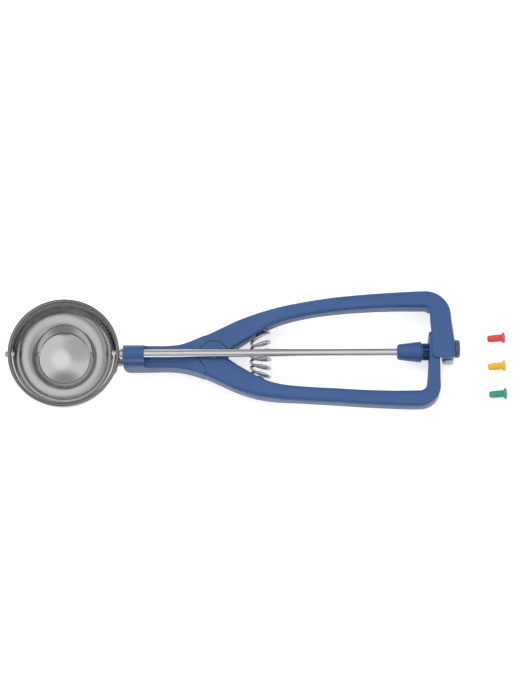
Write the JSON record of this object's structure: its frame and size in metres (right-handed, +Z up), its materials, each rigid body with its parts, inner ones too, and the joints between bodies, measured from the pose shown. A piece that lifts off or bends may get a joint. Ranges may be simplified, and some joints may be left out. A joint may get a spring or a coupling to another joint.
{
  "type": "ice cream scoop",
  "caption": "Lever ice cream scoop with a round steel bowl, a swinging scraper on a long shaft, a two-armed blue handle with a return spring, and small coloured marker pins.",
  "frame": {"origin": "on the surface the set lies on, under the middle of the whole set, scoop and loose pins together", "axes": "+Z up, away from the surface; +X from the bowl towards the foot and the loose pins; +Y from the lever's arm to the fixed handle's arm"},
  "size_m": [0.2584, 0.0617, 0.0344],
  "materials": {
    "polished_steel": "polished",
    "bright_rod": "polished",
    "satin_steel": "satin",
    "spring_steel": "satin",
    "blue_nylon": "satin",
    "dark_nylon": "satin",
    "pale_nylon": "satin",
    "cap_nylon": "satin",
    "red_nylon": "satin",
    "yellow_nylon": "satin",
    "green_nylon": "satin"
  },
  "bodies": {
    "frame": {"fixed_handle": "blue_nylon", "ferrule": "blue_nylon", "front_bush": "pale_nylon", "rear_bush": "pale_nylon", "bowl": "polished_steel", "bowl_tang": "satin_steel", "tang_rivets": "satin_steel", "pivot_pin": "polished_steel", "hinge_pin": "satin_steel", "hinge_washer": "satin_steel", "hinge_clip": "satin_steel", "end_cap": "cap_nylon", "return_spring": "spring_steel"},
    "lever": {"squeeze_lever": "blue_nylon"},
    "shaft": {"drive_shaft": "bright_rod", "scraper_blade": "polished_steel", "shaft_collar": "polished_steel", "shaft_knob": "blue_nylon", "drive_pinion": "dark_nylon", "cross_pin": "satin_steel", "thrust_washer": "satin_steel"},
    "neutral_pin": {"marker_pin_neutral": "pale_nylon"},
    "red_pin": {"marker_pin_red": "red_nylon"},
    "yellow_pin": {"marker_pin_yellow": "yellow_nylon"},
    "green_pin": {"marker_pin_green": "green_nylon"}
  },
  "joints": [
    {"name": "lever_squeeze", "type": "hinge", "parent": "frame", "child": "lever", "pos_m": [-0.02229, 0, 0.01241], "axis": [0.1101, 0, 0.9939], "range_deg": [0, 6], "stiffness_Nm_per_rad": 5.3, "springref_deg": -6.99, "deforming": ["return_spring"]},
    {"name": "shaft_turn", "type": "hinge", "parent": "frame", "child": "shaft", "pos_m": [-0.09855, 0, 0.0279], "axis": [0.9939, 0, -0.1101], "range_deg": [0, 172.5]},
    {"name": "neutral_pin_pull", "type": "slide", "parent": "frame", "child": "neutral_pin", "axis": [0, -1, 0], "range_m": [0, 0.009]},
    {"name": "red_pin_lift", "type": "slide", "parent": "frame", "child": "red_pin", "axis": [0, 0, 1], "range_m": [0, 0.08]},
    {"name": "yellow_pin_lift", "type": "slide", "parent": "frame", "child": "yellow_pin", "axis": [0, 0, 1], "range_m": [0, 0.08]},
    {"name": "green_pin_lift", "type": "slide", "parent": "frame", "child": "green_pin", "axis": [0, 0, 1], "range_m": [0, 0.08]}
  ],
  "couplings": [
    {"joint": "shaft_turn", "follows": "lever_squeeze", "ratio": 28.75}
  ]
}
